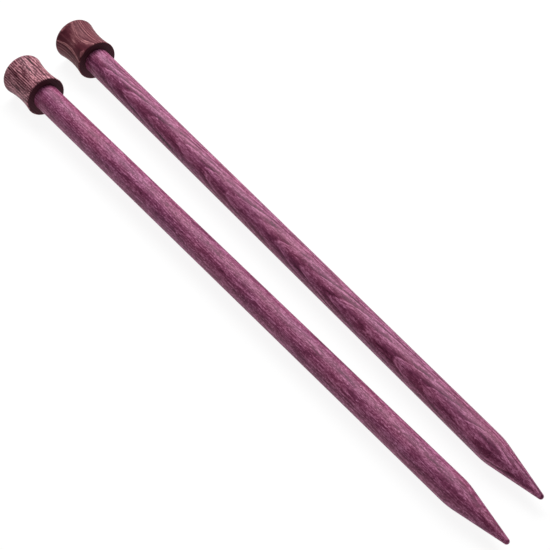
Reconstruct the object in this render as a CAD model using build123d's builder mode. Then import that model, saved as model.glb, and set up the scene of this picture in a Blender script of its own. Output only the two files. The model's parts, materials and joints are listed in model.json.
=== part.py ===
"""A pair of straight wooden knitting needles, 12 mm gauge and 350 mm long.

Each needle is a turned shaft with a blunt conical point, and a waisted end cap
glued over a tenon on the shaft's tail. The pair lies on a table: each needle
rests on the back rim of its cap and on the shoulder where its point begins.

Both are turned a little inwards, so that the points lie closer than the caps.

Millimetres, +X along the pair from the caps to the points, +Z up, the table at
z = 0, and the origin under the middle of the pair.
"""
from build123d import *
import math
import os

# Shaft
gauge_diameter = 12.0
overall_length = 350.0
point_length = 30.0
point_end_radius = 1.2

# End cap
cap_length = 22.0
cap_waist_diameter = 17.5
cap_waist_setback = 9.5
cap_hollow_radius = 52.0
cap_front_edge_radius = 0.5
cap_back_edge_radius = 1.8

# Glued joint between the shaft's tail and its cap
tenon_length = 14.0
tenon_shoulder = 1.0
glue_line = 0.05
glue_pocket = 0.4

# How the two needles lie beside each other
cap_spacing = 32.9
rear_setback = 10.4
inward_turn = 0.75

shaft_radius = gauge_diameter / 2
tip_distance = overall_length - cap_length
shoulder_distance = tip_distance - point_length
tenon_radius = shaft_radius - tenon_shoulder
socket_radius = tenon_radius + glue_line
socket_depth = tenon_length + glue_pocket


def cap_side_radius(distance):
    """The cap's radius at a distance along its axis, before its edges are rounded."""
    from_waist = distance + cap_waist_setback
    rise = cap_hollow_radius - math.sqrt(cap_hollow_radius**2 - from_waist**2)
    return cap_waist_diameter / 2 + rise


def edge_centre_radius(distance, rounding):
    """How far from the axis a rounded edge is centred, where it meets the cap's hollow side."""
    from_waist = distance + cap_waist_setback
    reach = cap_hollow_radius + rounding
    return cap_waist_diameter / 2 + cap_hollow_radius - math.sqrt(reach**2 - from_waist**2)


def resting_tilt():
    """How far an axis dips towards its point, in radians, on a shoulder and one cap rim."""
    rims = (
        (cap_back_edge_radius - cap_length, cap_back_edge_radius),
        (-cap_front_edge_radius, cap_front_edge_radius),
    )
    tilts = []
    for distance, rounding in rims:
        run = shoulder_distance - distance
        drop = edge_centre_radius(distance, rounding) - shaft_radius
        tilts.append(math.atan2(drop, run) + math.asin(rounding / math.hypot(run, drop)))
    return max(tilts)


def needle_plane(setback, offset, turn):
    """A plane along a resting needle, its origin at the centre of the cap's front face."""
    tilt = resting_tilt()
    heading = math.radians(turn)
    height = shoulder_distance * math.sin(tilt) + shaft_radius * math.cos(tilt)
    along = Vector(
        math.cos(tilt) * math.cos(heading),
        math.cos(tilt) * math.sin(heading),
        -math.sin(tilt),
    )
    level = Vector(math.sin(heading), -math.cos(heading), 0)
    return Plane(origin=(-setback, offset, height), x_dir=along, z_dir=level)


def turning_axis(plane):
    """The centre line of the needle that lies on a plane."""
    return Axis(plane.origin, plane.x_dir)


def turn_shaft(plane):
    """One shaft: a tenon, a straight length at the gauge, and a cone with a rounded end."""
    nose_centre = tip_distance - point_end_radius
    run = nose_centre - shoulder_distance
    slope = math.atan2(shaft_radius, run) - math.asin(point_end_radius / math.hypot(run, shaft_radius))
    nose_start = (
        nose_centre + point_end_radius * math.sin(slope),
        point_end_radius * math.cos(slope),
    )
    with BuildPart() as shaft:
        with BuildSketch(plane):
            with BuildLine():
                Polyline(
                    (tip_distance, 0),
                    (-tenon_length, 0),
                    (-tenon_length, tenon_radius),
                    (0, tenon_radius),
                    (0, shaft_radius),
                    (shoulder_distance, shaft_radius),
                    nose_start,
                )
                RadiusArc(nose_start, (tip_distance, 0), point_end_radius)
            make_face()
        revolve(axis=turning_axis(plane))
    return shaft


def turn_cap(plane):
    """One end cap: a waisted knob with a flat front face and a blind socket."""
    front_corner = (0, cap_side_radius(0))
    back_corner = (-cap_length, cap_side_radius(-cap_length))
    waist = (-cap_waist_setback, cap_side_radius(-cap_waist_setback))
    with BuildPart() as cap:
        with BuildSketch(plane) as profile:
            with BuildLine():
                Polyline(
                    back_corner,
                    (-cap_length, 0),
                    (-socket_depth, 0),
                    (-socket_depth, socket_radius),
                    (0, socket_radius),
                    front_corner,
                )
                ThreePointArc(front_corner, waist, back_corner)
            make_face()
            back_vertex = profile.vertices().group_by(Axis.X)[0].sort_by(Axis.Y)[-1]
            fillet(back_vertex, radius=cap_back_edge_radius)
            front_vertex = profile.vertices().group_by(Axis.X)[-1].sort_by(Axis.Y)[-1]
            fillet(front_vertex, radius=cap_front_edge_radius)
        revolve(axis=turning_axis(plane))
    return cap


front_plane = needle_plane(0, 0, inward_turn)
rear_plane = needle_plane(rear_setback, cap_spacing, -inward_turn)

front_shaft = turn_shaft(front_plane)
front_end_cap = turn_cap(front_plane)
rear_shaft = turn_shaft(rear_plane)
rear_end_cap = turn_cap(rear_plane)

pieces = {
    "front_shaft": front_shaft,
    "front_end_cap": front_end_cap,
    "rear_shaft": rear_shaft,
    "rear_end_cap": rear_end_cap,
}
middle = Compound([piece.part for piece in pieces.values()]).bounding_box().center()
under_middle = Location((-middle.X, -middle.Y, 0))

os.makedirs("parts", exist_ok=True)
for name, piece in pieces.items():
    piece.part.move(under_middle)
    piece.part.label = name
    export_step(piece.part, f"parts/{name}.step")
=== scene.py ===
"""Two turned knitting needles of dyed laminated birch, lying side by side on a white table."""

import bpy
import json
import math
from mathutils import Matrix, Vector


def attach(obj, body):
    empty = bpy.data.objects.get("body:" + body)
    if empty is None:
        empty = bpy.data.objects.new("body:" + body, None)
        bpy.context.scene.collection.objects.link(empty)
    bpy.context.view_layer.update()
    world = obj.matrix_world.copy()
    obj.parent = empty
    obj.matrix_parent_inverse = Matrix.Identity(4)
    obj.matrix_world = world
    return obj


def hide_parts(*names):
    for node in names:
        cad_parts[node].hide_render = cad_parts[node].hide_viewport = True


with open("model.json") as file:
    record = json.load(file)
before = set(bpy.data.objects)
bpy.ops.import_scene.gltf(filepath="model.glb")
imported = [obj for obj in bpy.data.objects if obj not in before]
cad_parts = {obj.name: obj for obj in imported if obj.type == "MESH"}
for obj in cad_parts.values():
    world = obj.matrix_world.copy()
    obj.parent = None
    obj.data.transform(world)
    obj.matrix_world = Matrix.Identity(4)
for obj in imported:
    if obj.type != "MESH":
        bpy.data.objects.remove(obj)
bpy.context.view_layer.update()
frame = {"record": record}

MM = 0.001

# Turned shapes, in millimetres
POINT_LENGTH = 30.0
POINT_END_RADIUS = 1.2
SHOULDER_SOFTENING = 3.2
CAP_LENGTH = 22.0
WAIST_RADIUS = 8.75
WAIST_SETBACK = 9.5
HOLLOW_RADIUS = 52.0
FRONT_EDGE_RADIUS = 0.45
BACK_EDGE_RADIUS = 1.8
TENON_LENGTH = 14.0
TENON_RADIUS = 5.0
SOCKET_DEPTH = 14.4
SOCKET_RADIUS = 5.05

# How finely the turned shapes are divided
LATHE_STEPS = 128
STRAIGHT_RINGS = 96
SHOULDER_RINGS = 12
CONE_RINGS = 14
NOSE_RINGS = 12
FACE_RINGS = 6
FRONT_EDGE_RINGS = 8
HOLLOW_RINGS = 40
BACK_EDGE_RINGS = 14
WELD_DISTANCE = 0.002 * MM
SHARP_EDGE = math.radians(35)

# Camera
CAMERA_PLACE = (0.6275, -0.4051, 0.6512)
CAMERA_HEADING = math.radians(146.69)
CAMERA_DIP = math.radians(41.068)
CAMERA_ROLL = math.radians(1.25)
CAMERA_LENS = 156.4
CAMERA_SENSOR = 36.0
CAMERA_NEAR_LIMIT = 0.01

# Light
ROOM_STRENGTH = 0.2
TABLE_GLOW = 0.9
TABLE_SIZE = 8.0
KEY_PLACE = (-0.85, 0.62, 1.22)
KEY_WIDTH = 1.6
KEY_DEPTH = 1.0
KEY_POWER = 43.0


def linear(red, green, blue):
    """A colour given as it looks on a screen, from 0 to 255, in the renderer's linear values.

    The numbers inside are those of the standard screen curve.
    """
    channels = []
    for channel in (red, green, blue):
        share = channel / 255
        channels.append(share / 12.92 if share <= 0.04045 else ((share + 0.055) / 1.055) ** 2.4)
    return (*channels, 1.0)


# ---------------------------------------------------------------- where the needles lie

class Needle:
    """One needle's own axes: x along it from the cap's front face, z as near up as x allows."""

    def __init__(self, side):
        mounts = {mount["name"]: mount for mount in frame["record"]["mounts"]}
        gauge = mounts[side + "_gauge"]
        self.body = side + "_needle"
        self.radius = gauge["dims"]["r_mm"]
        self.shoulder = gauge["dims"]["length_mm"]
        self.along = Vector(gauge["axis"]).normalized()
        self.across = Vector((0, 0, 1)).cross(self.along).normalized()
        self.up = self.along.cross(self.across)
        self.origin = Vector(gauge["pos_m"]) - self.along * self.shoulder * MM / 2
        self.turn = Matrix((self.along, self.across, self.up)).transposed()

    def place(self, distance, height):
        """A point in the scene, from millimetres along the needle and away from its axis."""
        return self.origin + (self.along * distance + self.up * height) * MM


# ---------------------------------------------------------------- turning

def start_outline(name, point):
    """A new piece with a single corner point, in edit mode."""
    bpy.ops.object.select_all(action="DESELECT")
    bpy.ops.mesh.primitive_plane_add(size=MM, location=point)
    piece = bpy.context.object
    piece.name = name
    piece.data.name = name
    bpy.ops.object.transform_apply(location=True, rotation=True, scale=True)
    bpy.ops.object.mode_set(mode="EDIT")
    bpy.ops.mesh.select_mode(type="VERT")
    bpy.ops.mesh.select_all(action="SELECT")
    bpy.ops.mesh.merge(type="CENTER")
    return piece


def turn_piece(name, needle, outline):
    """Spin an outline of (distance, radius) corners round the needle's axis into a closed solid."""
    corners = [needle.place(distance, radius) for distance, radius in outline]
    piece = start_outline(name, corners[0])
    for start, end in zip(corners, corners[1:]):
        bpy.ops.mesh.extrude_region_move(TRANSFORM_OT_translate={"value": end - start})
    bpy.ops.mesh.select_all(action="SELECT")
    bpy.ops.mesh.spin(
        steps=LATHE_STEPS, angle=math.tau, center=needle.origin, axis=needle.along, use_auto_merge=True
    )
    bpy.ops.mesh.select_all(action="SELECT")
    bpy.ops.mesh.remove_doubles(threshold=WELD_DISTANCE)
    bpy.ops.mesh.normals_make_consistent(inside=False)
    bpy.ops.object.mode_set(mode="OBJECT")
    bpy.ops.object.shade_smooth_by_angle(angle=SHARP_EDGE)
    return piece


def arc(centre, radius, start, end, steps):
    """Points on a circle from one angle to another, in degrees, as (distance, radius)."""
    points = []
    for step in range(steps + 1):
        angle = math.radians(start + (end - start) * step / steps)
        points.append((centre[0] + radius * math.cos(angle), centre[1] + radius * math.sin(angle)))
    return points


def run(start, end, steps):
    """Evenly spaced points along a straight line, its start left out."""
    points = []
    for step in range(1, steps + 1):
        share = step / steps
        points.append(tuple(a + (b - a) * share for a, b in zip(start, end)))
    return points


def shaft_outline(needle):
    """Tenon, straight length, softened shoulder, cone and rounded end."""
    tip = needle.shoulder + POINT_LENGTH
    nose_centre = tip - POINT_END_RADIUS
    length = nose_centre - needle.shoulder
    slope = math.atan2(needle.radius, length) - math.asin(
        POINT_END_RADIUS / math.hypot(length, needle.radius)
    )
    blend_radius = SHOULDER_SOFTENING / math.tan(slope / 2)
    blend_centre = (needle.shoulder - SHOULDER_SOFTENING, needle.radius - blend_radius)
    slope_degrees = math.degrees(slope)
    nose = arc((nose_centre, 0), POINT_END_RADIUS, 90 - slope_degrees, 0, NOSE_RINGS)
    shoulder = arc(blend_centre, blend_radius, 90, 90 - slope_degrees, SHOULDER_RINGS)
    outline = [
        (-TENON_LENGTH, 0),
        (-TENON_LENGTH, TENON_RADIUS),
        (0, TENON_RADIUS),
        (0, needle.radius),
    ]
    outline += run(outline[-1], shoulder[0], STRAIGHT_RINGS)[:-1]
    outline += shoulder
    outline += run(shoulder[-1], nose[0], CONE_RINGS)[:-1]
    outline += nose[:-1] + [(tip, 0)]
    return outline


def cap_outline():
    """Socket, flat front face, hollow side between two rounded edges, and a flat back."""

    def edge_centre(distance, rounding):
        """Where a rounded edge is centred, so that it runs smoothly into the hollow side."""
        from_waist = distance + WAIST_SETBACK
        reach = HOLLOW_RADIUS + rounding
        return distance, WAIST_RADIUS + HOLLOW_RADIUS - math.sqrt(reach**2 - from_waist**2)

    hollow_centre = (-WAIST_SETBACK, WAIST_RADIUS + HOLLOW_RADIUS)
    front_centre = edge_centre(-FRONT_EDGE_RADIUS, FRONT_EDGE_RADIUS)
    back_centre = edge_centre(BACK_EDGE_RADIUS - CAP_LENGTH, BACK_EDGE_RADIUS)

    def lean(centre):
        """The direction from an edge's centre to the hollow's centre, in degrees."""
        return math.degrees(math.atan2(hollow_centre[1] - centre[1], hollow_centre[0] - centre[0]))

    side_start = lean(front_centre) - 180
    side_end = lean(back_centre) - 180
    front = arc(front_centre, FRONT_EDGE_RADIUS, 0, lean(front_centre), FRONT_EDGE_RINGS)
    side = arc(hollow_centre, HOLLOW_RADIUS, side_start, side_end, HOLLOW_RINGS)
    back = arc(back_centre, BACK_EDGE_RADIUS, lean(back_centre), 180, BACK_EDGE_RINGS)
    outline = [(-SOCKET_DEPTH, 0), (-SOCKET_DEPTH, SOCKET_RADIUS), (0, SOCKET_RADIUS)]
    outline += run(outline[-1], front[0], FACE_RINGS)[:-1]
    outline += front
    outline += side[1:-1]
    outline += back
    outline += run(back[-1], (-CAP_LENGTH, 0), FACE_RINGS)
    return outline


# ---------------------------------------------------------------- shader arithmetic

class Signal:
    """A number that varies over a surface, for use in plain arithmetic."""

    def __init__(self, finish, socket):
        self.finish = finish
        self.socket = socket

    def combine(self, operation, first, second):
        """Add one Math node that works on two numbers or signals."""
        return self.finish.node("ShaderNodeMath", {"operation": operation}, {0: first, 1: second})

    def __add__(self, other):
        return self.combine("ADD", self, other)

    def __radd__(self, other):
        return self.combine("ADD", other, self)

    def __sub__(self, other):
        return self.combine("SUBTRACT", self, other)

    def __rsub__(self, other):
        return self.combine("SUBTRACT", other, self)

    def __mul__(self, other):
        return self.combine("MULTIPLY", self, other)

    def __rmul__(self, other):
        return self.combine("MULTIPLY", other, self)


class Finish:
    """One material and the nodes that make it."""

    def __init__(self, name):
        self.material = bpy.data.materials.new(name)
        self.material.use_nodes = True
        self.tree = self.material.node_tree
        self.tree.nodes.clear()

    def node(self, kind, settings=None, inputs=None, output=0):
        """Add a node: its settings first, then the values or links of its sockets.

        The answer is one of its outputs, or the node itself where it has none.
        """
        added = self.tree.nodes.new(kind)
        for key, setting in (settings or {}).items():
            if key == "stops":
                self.set_stops(added.color_ramp, setting)
            else:
                setattr(added, key, setting)
        for key, value in (inputs or {}).items():
            if isinstance(value, Signal):
                self.tree.links.new(value.socket, added.inputs[key])
            else:
                added.inputs[key].default_value = value
        return Signal(self, added.outputs[output]) if added.outputs else added

    def set_stops(self, ramp, stops):
        """Give a colour ramp its (place, colour) stops."""
        for place, colour in stops[2:]:
            ramp.elements.new(place)
        for element, (place, colour) in zip(ramp.elements, stops):
            element.position = place
            element.color = colour

    def ramp(self, value, *stops):
        """A colour picked by a number, between (place, colour) stops."""
        return self.node("ShaderNodeValToRGB", {"stops": stops}, {0: value})

    def grey(self, value, low, high):
        """A number that climbs smoothly from 0 at low to 1 at high."""
        settings = {"interpolation_type": "SMOOTHSTEP"}
        return self.node("ShaderNodeMapRange", settings, {0: value, 1: low, 2: high})

    def stretch(self, vector, sizes):
        """Coordinates counted in pattern sizes, in millimetres along, across and up."""
        factors = tuple(1 / size for size in sizes)
        return self.node("ShaderNodeVectorMath", {"operation": "MULTIPLY"}, {0: vector, 1: factors})

    def noise(self, vector, seed, sizes, detail, lift, roughness=0.5):
        """Soft noise between 0 and 1 with patches of the given sizes.

        The seed tells one piece of wood from another, and the lift one pattern in it from the next.
        """
        inputs = {
            "Vector": self.stretch(vector, sizes),
            "W": seed + lift,
            "Scale": 1.0,
            "Detail": detail,
            "Roughness": roughness,
        }
        return self.node("ShaderNodeTexNoise", {"noise_dimensions": "4D"}, inputs)

    def mix_colour(self, factor, first, second, blend):
        """Two colours mixed by a factor, in one of Blender's ways."""
        settings = {"data_type": "RGBA", "blend_type": blend}
        return self.node("ShaderNodeMix", settings, {0: factor, 6: first, 7: second}, output=2)

    def needle_coordinates(self, needle):
        """Millimetres along the needle, across it and up from its axis."""
        place = self.node("ShaderNodeTexCoord", output=3)
        settings = {"vector_type": "TEXTURE"}
        inputs = {0: place, 1: needle.origin, 2: needle.turn.to_euler(), 3: (MM, MM, MM)}
        return self.node("ShaderNodeMapping", settings, inputs)

    def surface(self, inputs, normal=None):
        """Finish the material with its shader, and return it."""
        if normal is not None:
            inputs = {**inputs, "Normal": normal}
        shader = self.node("ShaderNodeBsdfPrincipled", None, inputs)
        self.node("ShaderNodeOutputMaterial", None, {"Surface": shader})
        return self.material


# ---------------------------------------------------------------- wood

PLUM = {
    "deep": linear(80, 19, 53),
    "body": linear(130, 64, 97),
    "bright": linear(200, 138, 170),
    "wine": linear(146, 58, 90),
    "violet": linear(118, 70, 124),
}
MAROON = {
    "deep": linear(56, 16, 28),
    "body": linear(107, 55, 70),
    "bright": linear(214, 160, 169),
    "wine": linear(122, 58, 62),
    "violet": linear(108, 60, 84),
}
RUSSET = {
    "deep": linear(58, 18, 28),
    "body": linear(102, 48, 61),
    "bright": linear(206, 150, 152),
    "wine": linear(122, 54, 62),
    "violet": linear(100, 58, 76),
}
END_GRAIN = {
    "deep": linear(54, 18, 30),
    "body": linear(78, 32, 46),
}

# Patterns in the wood, their sizes in millimetres along the needle, across it and up
DRIFT = dict(sizes=(46.0, 7.0, 7.0), detail=4.0, lift=0)
CLOUDS = dict(sizes=(30.0, 4.5, 4.5), detail=1.0, lift=9)
VEINS = dict(sizes=(24.0, 1.8, 1.8), detail=3.0, lift=1)
PATCHES = dict(sizes=(16.0, 2.4, 2.4), detail=2.0, lift=5)
RIPPLE = dict(sizes=(9.0, 1.3, 1.3), detail=2.0, lift=13)
STREAKS = dict(sizes=(6.5, 0.66, 0.66), detail=3.0, lift=3, roughness=0.6)
FLECKS = dict(sizes=(1.4, 0.42, 0.42), detail=1.0, lift=11)
FIBRES = dict(sizes=(1.3, 0.36, 0.36), detail=2.0, lift=7)
PORES = dict(sizes=(1.0, 0.3, 0.3), detail=2.0, lift=2)

# The span of a noise over which what it makes comes in, from nothing to full strength
FLECK_SPAN = (0.6, 0.74)
VEIN_SPAN = (0.5, 0.72)
CORE_PATCH_SPAN = (0.3, 0.6)
LINE_PATCH_SPAN = (0.35, 0.65)

# Where the stripes of a ply rise and fall, as shares of its thickness
CORE_RISE = (0.2, 0.88)
CORE_FALL = (0.93, 1.0)
JOINT_LINE_RISE = (0.0, 0.05)
JOINT_LINE_FALL = (0.06, 0.13)
INNER_LINE_RISE = (0.2, 0.25)
INNER_LINE_FALL = (0.26, 0.33)
CUT_END_RISE = (0.1, 0.9)

# The tone that all patterns start from, between 0 for the deepest dye and 1 for the brightest
MIDDLE_TONE = 0.5

# How strongly each pattern tells
STREAK_STRENGTH = 1.5
FIBRE_STRENGTH = 1.2
FLECK_STRENGTH = 0.55
VEIN_STRENGTH = 0.3
INNER_LINE_STRENGTH = 0.6
CORE_LEAST = 0.75
CORE_VARIATION = 0.5
HUE_STRENGTH = 0.35
CUT_END_PLY_STRENGTH = 0.5
CUT_END_PORE_STRENGTH = 0.6

# What is taken off a pattern, so that it darkens some places and lightens others
NOISE_MIDDLE = 0.5
VEIN_OFFSET = 0.2
CORE_OFFSET = 0.25

# The sealed surface, and the duller cut ends
SEAL_ROUGHNESS = 0.5
SEAL_UNEVENNESS = 0.2
CUT_END_ROUGHNESS = 0.6
CUT_END_UNEVENNESS = 0.2
CUT_END_GLOSS = 0.2
BUMP_STRENGTH = 0.3
FIBRE_DEPTH = 0.02 * MM
PORE_DEPTH = 0.03 * MM


def figure(wood, point, angle, slope, ply, wander, wobble, seed):
    """How far a point lies through the stack of plies, counted in plies.

    The plies face the given angle round the needle, in degrees, and climb by the
    slope along it. Their thickness, wander and wobble are in millimetres.
    """
    facing = (slope, math.cos(math.radians(angle)), math.sin(math.radians(angle)))
    dot_product = {"operation": "DOT_PRODUCT"}
    depth = wood.node("ShaderNodeVectorMath", dot_product, {0: point, 1: facing}, output=1)
    drift = wood.noise(point, seed, **DRIFT) - NOISE_MIDDLE
    ripple = wood.noise(point, seed, **RIPPLE) - NOISE_MIDDLE
    return (depth + drift * wander + ripple * wobble) * (1 / ply)


def stripe(wood, within, rise, fall):
    """A soft stripe in every ply: 1 between its rise and its fall, and 0 outside them."""
    return wood.grey(within, *rise) - wood.grey(within, *fall)


def growth_bands(wood, layers, patches, seed):
    """The dark core of each ply and the two pale hairlines near one side of it, all uneven."""
    within = wood.node("ShaderNodeMath", {"operation": "FRACT"}, {0: layers})
    which = wood.node("ShaderNodeMath", {"operation": "FLOOR"}, {0: layers})
    shade = wood.node("ShaderNodeTexWhiteNoise", {"noise_dimensions": "1D"}, {"W": which + seed})
    core = stripe(wood, within, CORE_RISE, CORE_FALL) * (shade * CORE_VARIATION + CORE_LEAST)
    core = core * wood.grey(patches, *CORE_PATCH_SPAN)
    joint_line = stripe(wood, within, JOINT_LINE_RISE, JOINT_LINE_FALL)
    inner_line = stripe(wood, within, INNER_LINE_RISE, INNER_LINE_FALL)
    hairlines = (joint_line + inner_line * INNER_LINE_STRENGTH) * shade
    hairlines = hairlines * wood.grey(patches, *LINE_PATCH_SPAN)
    return core, hairlines


def dyed_wood(name, needle, cut, palette, band, seam, grain, gloss):
    """Sealed laminated birch: bonded plies, growth bands, fibres, flecks and veins that run through
    the solid.

    The cut says how the plies lie. Band, seam and grain are the strengths of the dark
    cores, of the pale hairlines and of the fine grain, and gloss is the shine of the seal.
    """
    wood = Finish(name)
    point = wood.needle_coordinates(needle)
    seed = cut["seed"]
    layers = figure(wood, point, **cut)
    core, hairlines = growth_bands(wood, layers, wood.noise(point, seed, **PATCHES), seed)
    streaks = wood.noise(point, seed, **STREAKS) - NOISE_MIDDLE
    fibres = wood.noise(point, seed, **FIBRES)
    flecks = wood.grey(wood.noise(point, seed, **FLECKS), *FLECK_SPAN)
    veins = wood.grey(wood.noise(point, seed, **VEINS), *VEIN_SPAN)
    tone = MIDDLE_TONE + streaks * (STREAK_STRENGTH * grain)
    tone = tone + (fibres - NOISE_MIDDLE) * (FIBRE_STRENGTH * grain)
    tone = tone + flecks * (FLECK_STRENGTH * grain)
    tone = tone - (veins - VEIN_OFFSET) * (VEIN_STRENGTH * grain)
    tone = tone - (core - CORE_OFFSET) * band
    tone = tone + hairlines * seam
    base = wood.ramp(
        tone, (0.0, palette["deep"]), (MIDDLE_TONE, palette["body"]), (1.0, palette["bright"])
    )
    clouds = wood.noise(point, seed, **CLOUDS)
    hue = wood.ramp(clouds, (0.3, palette["wine"]), (0.7, palette["violet"]))
    relief = {
        "Strength": BUMP_STRENGTH,
        "Distance": FIBRE_DEPTH,
        "Height": (fibres + streaks) * 0.5,
    }
    inputs = {
        "Base Color": wood.mix_colour(HUE_STRENGTH, base, hue, blend="SOFT_LIGHT"),
        "Roughness": SEAL_ROUGHNESS + streaks * SEAL_UNEVENNESS,
        "Specular IOR Level": gloss,
    }
    return wood.surface(inputs, wood.node("ShaderNodeBump", None, relief))


def end_grain(name, needle, cut):
    """Cut ends of the plies, which drink in the most dye."""
    wood = Finish(name)
    point = wood.needle_coordinates(needle)
    within = wood.node("ShaderNodeMath", {"operation": "FRACT"}, {0: figure(wood, point, **cut)})
    pores = wood.noise(point, cut["seed"], **PORES)
    tone = wood.grey(within, *CUT_END_RISE) * CUT_END_PLY_STRENGTH + pores * CUT_END_PORE_STRENGTH
    relief = {"Strength": BUMP_STRENGTH, "Distance": PORE_DEPTH, "Height": pores}
    inputs = {
        "Base Color": wood.ramp(tone, (0.2, END_GRAIN["body"]), (0.9, END_GRAIN["deep"])),
        "Roughness": CUT_END_ROUGHNESS + pores * CUT_END_UNEVENNESS,
        "Specular IOR Level": CUT_END_GLOSS,
    }
    return wood.surface(inputs, wood.node("ShaderNodeBump", None, relief))


def table_finish():
    """A dark matt table that glows white, so that shadows on it stay faint."""
    table = Finish("white table")
    inputs = {
        "Base Color": (0.1, 0.1, 0.1, 1.0),
        "Roughness": 0.9,
        "Specular IOR Level": 0.1,
        "Emission Color": (1.0, 1.0, 1.0, 1.0),
        "Emission Strength": TABLE_GLOW,
    }
    return table.surface(inputs)


# ---------------------------------------------------------------- the scene

# A face is a cut end where its normal lies at least this nearly along the needle
END_ALIGNMENT = 0.99


def give_ends(cap, needle, finish):
    """Put a finish on the faces that look straight along the needle."""
    cap.data.materials.append(finish)
    for face in cap.data.polygons:
        if abs(face.normal.dot(needle.along)) > END_ALIGNMENT:
            face.material_index = 1


def make_needle(side, shaft_cut, shaft_look, cap_cut, cap_look):
    """One needle: its shaft and its cap, each with its own cut of wood."""
    needle = Needle(side)
    shaft = turn_piece(side + "_turned_shaft", needle, shaft_outline(needle))
    shaft.data.materials.append(dyed_wood(side + " shaft wood", needle, shaft_cut, **shaft_look))
    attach(shaft, needle.body)
    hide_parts(side + "_shaft")
    cap = turn_piece(side + "_turned_cap", needle, cap_outline())
    cap.data.materials.append(dyed_wood(side + " cap wood", needle, cap_cut, **cap_look))
    give_ends(cap, needle, end_grain(side + " cap end grain", needle, cap_cut))
    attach(cap, needle.body)
    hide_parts(side + "_end_cap")


def make_table():
    """The flat surface that the needles lie on."""
    bpy.ops.object.select_all(action="DESELECT")
    bpy.ops.mesh.primitive_plane_add(size=TABLE_SIZE, location=(0, 0, 0))
    table = bpy.context.object
    table.name = "white_table"
    table.data.materials.append(table_finish())


def make_light():
    """One large soft light high behind the needles, in a dim even room."""
    world = bpy.data.worlds.new("dim room")
    bpy.context.scene.world = world
    world.use_nodes = True
    room = world.node_tree.nodes["Background"]
    room.inputs["Color"].default_value = (1.0, 1.0, 1.0, 1.0)
    room.inputs["Strength"].default_value = ROOM_STRENGTH
    bpy.ops.object.light_add(type="AREA", location=KEY_PLACE)
    key = bpy.context.object
    key.name = "softbox"
    key.data.shape = "RECTANGLE"
    key.data.size = KEY_WIDTH
    key.data.size_y = KEY_DEPTH
    key.data.energy = KEY_POWER
    key.rotation_euler = (-Vector(KEY_PLACE)).to_track_quat("-Z", "Y").to_euler()


def make_camera():
    """A camera at its place, heading and dip, rolled a little about its own line of sight."""
    forward = Vector((
        math.cos(CAMERA_DIP) * math.cos(CAMERA_HEADING),
        math.cos(CAMERA_DIP) * math.sin(CAMERA_HEADING),
        -math.sin(CAMERA_DIP),
    ))
    level = forward.cross(Vector((0, 0, 1))).normalized()
    down = forward.cross(level)
    right = math.cos(CAMERA_ROLL) * level + math.sin(CAMERA_ROLL) * down
    up = math.sin(CAMERA_ROLL) * level - math.cos(CAMERA_ROLL) * down
    data = bpy.data.cameras.new("camera")
    data.lens = CAMERA_LENS
    data.sensor_width = CAMERA_SENSOR
    data.clip_start = CAMERA_NEAR_LIMIT
    camera = bpy.data.objects.new("camera", data)
    bpy.context.collection.objects.link(camera)
    turn = Matrix((right, up, -forward)).transposed().to_4x4()
    camera.matrix_world = Matrix.Translation(CAMERA_PLACE) @ turn
    bpy.context.scene.camera = camera


FRONT_SHAFT_CUT = dict(angle=40.0, slope=0.006, ply=1.0, wander=4.5, wobble=0.5, seed=1.0)
FRONT_SHAFT_LOOK = dict(palette=PLUM, band=0.16, seam=0.22, grain=0.95, gloss=0.15)
FRONT_CAP_CUT = dict(angle=33.0, slope=0.01, ply=1.0, wander=1.6, wobble=0.7, seed=44.0)
FRONT_CAP_LOOK = dict(palette=MAROON, band=0.6, seam=0.7, grain=1.2, gloss=0.1)
REAR_SHAFT_CUT = dict(angle=135.0, slope=0.07, ply=1.4, wander=2.2, wobble=0.28, seed=72.0)
REAR_SHAFT_LOOK = dict(palette=PLUM, band=0.36, seam=0.6, grain=0.85, gloss=0.16)
REAR_CAP_CUT = dict(angle=130.0, slope=0.02, ply=1.15, wander=2.6, wobble=0.2, seed=63.0)
REAR_CAP_LOOK = dict(palette=RUSSET, band=0.25, seam=1.25, grain=0.25, gloss=0.06)

make_needle("front", FRONT_SHAFT_CUT, FRONT_SHAFT_LOOK, FRONT_CAP_CUT, FRONT_CAP_LOOK)
make_needle("rear", REAR_SHAFT_CUT, REAR_SHAFT_LOOK, REAR_CAP_CUT, REAR_CAP_LOOK)
make_table()
make_light()
make_camera()
bpy.context.scene.view_settings.view_transform = "Standard"
